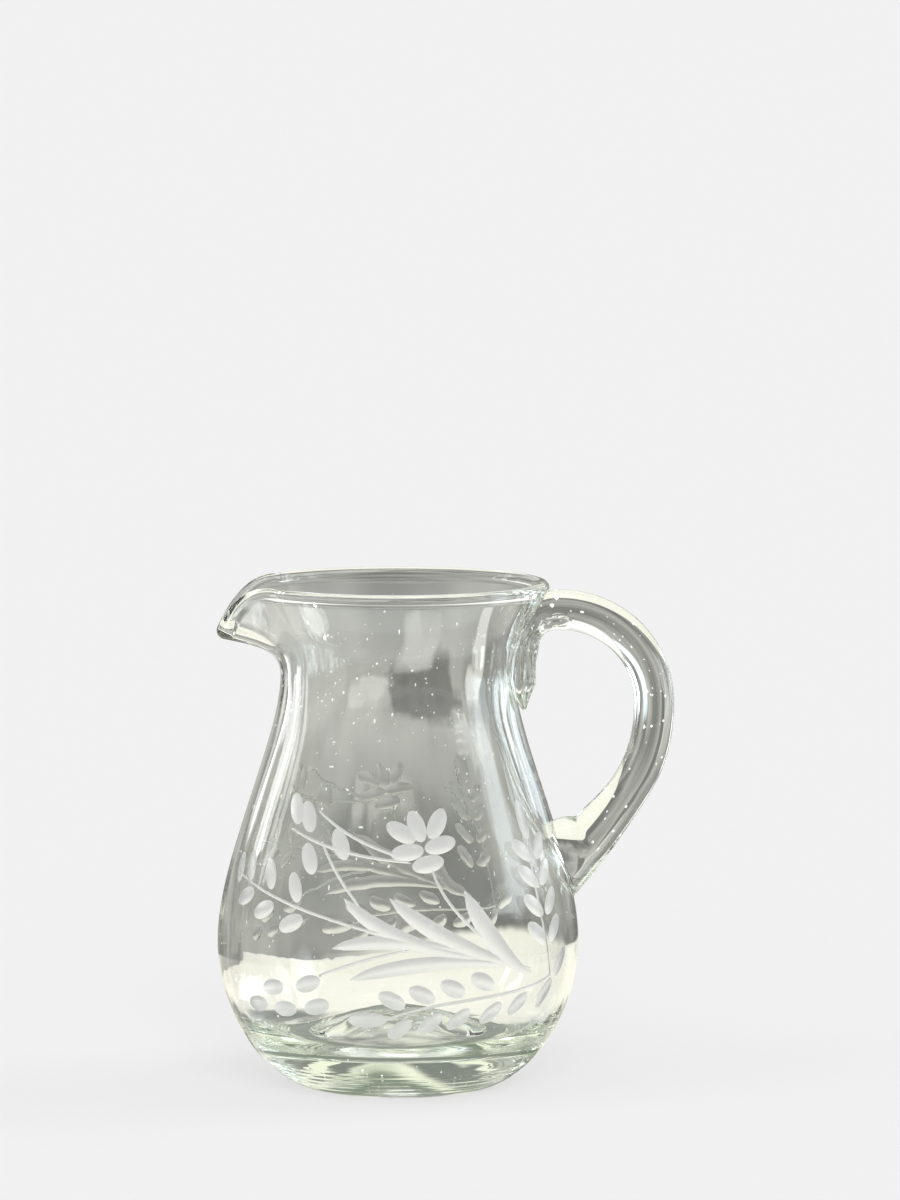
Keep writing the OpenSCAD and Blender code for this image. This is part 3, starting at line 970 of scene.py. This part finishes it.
def floor_material():
    made = bpy.data.materials.new("pale_floor")
    made.use_nodes = True
    nodes, links = made.node_tree.nodes, made.node_tree.links
    nodes.clear()
    matt = nodes.new("ShaderNodeBsdfDiffuse")
    matt.inputs["Color"].default_value = (PALE, PALE, PALE, 1)
    glow = nodes.new("ShaderNodeEmission")
    glow.inputs["Color"].default_value = (PALE, PALE, PALE, 1)
    share = nodes.new("ShaderNodeMath")
    share.operation = "MULTIPLY"
    share.inputs[1].default_value = FLOOR_GLOW
    links.new(seen_by_eye(nodes, links), share.inputs[0])
    both = nodes.new("ShaderNodeMixShader")
    links.new(share.outputs[0], both.inputs[0])
    links.new(matt.outputs[0], both.inputs[1])
    links.new(glow.outputs[0], both.inputs[2])
    links.new(both.outputs[0], nodes.new("ShaderNodeOutputMaterial").inputs[0])
    return made


floor_corners = [(x * FLOOR_HALF, y * FLOOR_HALF, 0) for x, y in ((-1, -1), (1, -1), (1, 1), (-1, 1))]
stage_mesh("floor", floor_corners, [(0, 1, 2, 3)], floor_material())


def card(name, turns, levels, place, colour, soft=0.0, ragged=0.0, blotch=0.0, scale=13, shift=0.3):
    """A card round the glass, seen only in it and through it.

    place gives the point at a turn, in degrees from the front towards the handle, and a level.
    soft is the share of each side over which the card fades out, and ragged makes that uneven.
    blotch makes the card's own brightness uneven.
    """
    made = bpy.data.materials.new(name)
    made.use_nodes = True
    nodes, links = made.node_tree.nodes, made.node_tree.links
    nodes.clear()
    shown = nodes.new("ShaderNodeEmission")
    shown.inputs["Color"].default_value = (*colour, 1)
    where = nodes.new("ShaderNodeTexCoord")
    moved = nodes.new("ShaderNodeMapping")
    moved.inputs["Location"].default_value = (shift, 0, 0)
    links.new(where.outputs["Object"], moved.inputs["Vector"])
    cloud = nodes.new("ShaderNodeTexNoise")
    cloud.inputs["Scale"].default_value = scale
    cloud.inputs["Detail"].default_value = 2
    links.new(moved.outputs["Vector"], cloud.inputs["Vector"])
    if blotch:
        level = nodes.new("ShaderNodeMapRange")
        level.inputs["From Min"].default_value = 0.35
        level.inputs["From Max"].default_value = 0.65
        level.inputs["To Min"].default_value = 1 - blotch
        level.inputs["To Max"].default_value = 1 + blotch
        links.new(cloud.outputs["Fac"], level.inputs["Value"])
        links.new(level.outputs["Result"], shown.inputs["Strength"])
    end = nodes.new("ShaderNodeOutputMaterial")
    if soft:
        fade = nodes.new("ShaderNodeAttribute")
        fade.attribute_name = "fade"
        uneven = nodes.new("ShaderNodeMath")
        uneven.operation = "MULTIPLY_ADD"
        uneven.inputs[1].default_value = 2 * ragged
        links.new(cloud.outputs["Fac"], uneven.inputs[0])
        links.new(fade.outputs["Fac"], uneven.inputs[2])
        share = nodes.new("ShaderNodeMapRange")
        share.interpolation_type = "SMOOTHSTEP"
        share.inputs["From Min"].default_value = 1.35 * ragged
        share.inputs["From Max"].default_value = 1 + 0.7 * ragged
        links.new(uneven.outputs[0], share.inputs["Value"])
        both = nodes.new("ShaderNodeMixShader")
        links.new(share.outputs["Result"], both.inputs[0])
        links.new(nodes.new("ShaderNodeBsdfTransparent").outputs[0], both.inputs[1])
        links.new(shown.outputs[0], both.inputs[2])
        links.new(both.outputs[0], end.inputs[0])
    else:
        links.new(shown.outputs[0], end.inputs[0])
    row = CARD_STEPS + 1
    shares = [(i / CARD_STEPS, j / CARD_STEPS) for j in range(row) for i in range(row)]
    points = [place(math.radians(mix(*turns, i)), mix(*levels, j)) for i, j in shares]
    faces = [(j * row + i, j * row + i + 1, (j + 1) * row + i + 1, (j + 1) * row + i)
             for j in range(CARD_STEPS) for i in range(CARD_STEPS)]
    made = stage_mesh(name, points, faces, made)
    if soft:
        whole_turn = turns[1] - turns[0] == 360
        disc = whole_turn and levels[0] == 0
        edge = []
        for i, j in shares:
            rim = ease((1 - j if disc else min(j, 1 - j)) / soft)
            ends = 1 if whole_turn else ease(min(i, 1 - i) / soft)
            edge.append(float(rim * ends))
        made.data.attributes.new("fade", "FLOAT", "POINT").data.foreach_set("value", edge)
    made.visible_camera = False
    made.visible_diffuse = False
    made.visible_shadow = False
    made.visible_volume_scatter = False


def upright(radius):
    """Places on an upright wall round the axis."""
    return lambda turn, height: (radius * math.sin(turn), -radius * math.cos(turn), height)


def level_at(height):
    """Places on a level plane."""
    return lambda turn, radius: (radius * math.sin(turn), -radius * math.cos(turn), height)


WEDGE_END, WEDGE_RUN = 194, 0.42


def wedge(radius):
    """Upright, and lower towards the spout."""
    def place(turn, height):
        share = min(1, (math.radians(WEDGE_END) - turn) / WEDGE_RUN)
        return upright(radius)(turn, height * share)
    return place


WARM_LIGHT_POOL, DARK = (1.02, 1.0, 0.88), (0.17, 0.18, 0.17)
on_floor = level_at(0.0004)
card("grey_card", (0, 360), (0, 0.3), upright(0.25), (0.36, 0.36, 0.335), blotch=0.5, scale=16)
card("high_card", (110, 250), (0.19, 0.36), upright(0.246), (1.15, 1.15, 1.1), 0.12)
# Painted light: a warm pool of light on the floor behind and under the glass, carried up the wall
# behind it, seen only through the glass
card("painted_light_pool", (100, 260), (0, 0.25), on_floor, WARM_LIGHT_POOL, 0.06)
card("painted_light_pool_wedge", (110, WEDGE_END), (-0.0135, 0.0135), wedge(0.245), WARM_LIGHT_POOL, 0.25)
card("under_shade", (0, 360), (0, 0.044), level_at(0.0006), (0.46, 0.47, 0.4), 0.4, 1.2, 0.6, 60)
card("foot_shade", (0, 360), (0.0225, 0.0365), level_at(0.0009), (0.22, 0.25, 0.2), 0.3, 0.6, scale=90)
for turns in ((148, 166), (174, 194)):
    card("heel_shade", turns, (0.036, 0.054), level_at(0.001), (0.2, 0.21, 0.2), 0.25)
card("left_shade", (-165, -105), (0.03, 0.085), level_at(0.0007), DARK, 0.35)
card("right_shade", (62, 128), (0.024, 0.06), level_at(0.0008), DARK, 0.3)
# Painted light: a bright pool of sunlight on the floor to the left, seen only in the glass, where it
# shows as highlights
card("left_light_pool", (-120, -66), (0.09, 0.2), on_floor, (3.4, 3.5, 3.4), 0.4, 1.0, scale=55)
card("left_glint", (-79, -75), (0.15, 0.17), on_floor, (60, 60, 60), 0.5)
card("top_card", (0, 360), (0, 0.2), level_at(0.5), (2.6, 2.6, 2.5), 0.6)
card("dark_patch", (171, 184), (0.074, 0.126), upright(0.247), (0.19, 0.19, 0.175), 0.4, 0.9, scale=60)
for turns, levels, bright in (((181, 187), (0.08, 0.113), 0.66), ((174, 181.5), (0.103, 0.128), 0.56),
                             ((168, 171.4), (0.09, 0.126), 0.72), ((178, 186), (0.046, 0.07), 0.5)):
    colour = (bright, bright, 0.94 * bright)
    card("light_patch", turns, levels, upright(0.246), colour, 0.4, 0.8, scale=90)
for start, end, bright in ((70, 94, 3.4), (98, 106, 3), (108, 118, 4.5), (120, 132, 2.5),
                           (135, 150, 1.2)):
    colour = (0.9 * bright, bright, 1.06 * bright)
    card("right_pane", (start, end), (0.06, 0.22), upright(0.24), colour, 0.35, 0.6, scale=25)
for start, end, bright in ((-100, -94, 4), (-116, -106, 5), (-140, -126, 2)):
    colour = (bright, bright, bright)
    card("left_pane", (start, end), (0.07, 0.2), upright(0.24), colour, 0.35, 0.7, scale=30)

SUN_ANGLE = math.radians(35)


def sun(name, turn, height, strength):
    """A soft lamp far away, at degrees from the front towards the handle and above the floor."""
    light = bpy.data.lights.new(name, "SUN")
    light.energy = strength
    light.angle = SUN_ANGLE
    made = bpy.data.objects.new(name, light)
    made.rotation_euler = (math.radians(90 - height), 0, math.radians(turn))
    made.visible_glossy = False
    made.visible_transmission = False
    scene.collection.objects.link(made)


sun("front_lamp", 5, 40, 1.3)
sun("left_lamp", -70, 50, 0.55)
sun("right_lamp", 105, 45, 0.75)

# Camera: the whole picture is 900 by 1200, and the base stands left of and below its middle
PIXEL_FOCUS, PICTURE_HEIGHT, SENSOR = 5949, 1200, 36
PITCH = math.radians(5.9)
BASE_RIGHT, BASE_UP, BASE_FAR = -16.54, -153.0, 1900.0
lens = bpy.data.cameras.new("camera")
lens.sensor_width = SENSOR
lens.lens = PIXEL_FOCUS * SENSOR / PICTURE_HEIGHT
camera = bpy.data.objects.new("camera", lens)
ahead = Vector((0, math.cos(PITCH), -math.sin(PITCH)))
above = Vector((0, math.sin(PITCH), math.cos(PITCH)))
camera.location = -(Vector((BASE_RIGHT, 0, 0)) + above * BASE_UP + ahead * BASE_FAR) * MM
camera.rotation_euler = (math.pi / 2 - PITCH, 0, 0)
scene.collection.objects.link(camera)
scene.camera = camera

scene.view_settings.view_transform = "Standard"
scene.cycles.max_bounces = 32
scene.cycles.transmission_bounces = 32
scene.cycles.glossy_bounces = 16
scene.cycles.transparent_max_bounces = 32
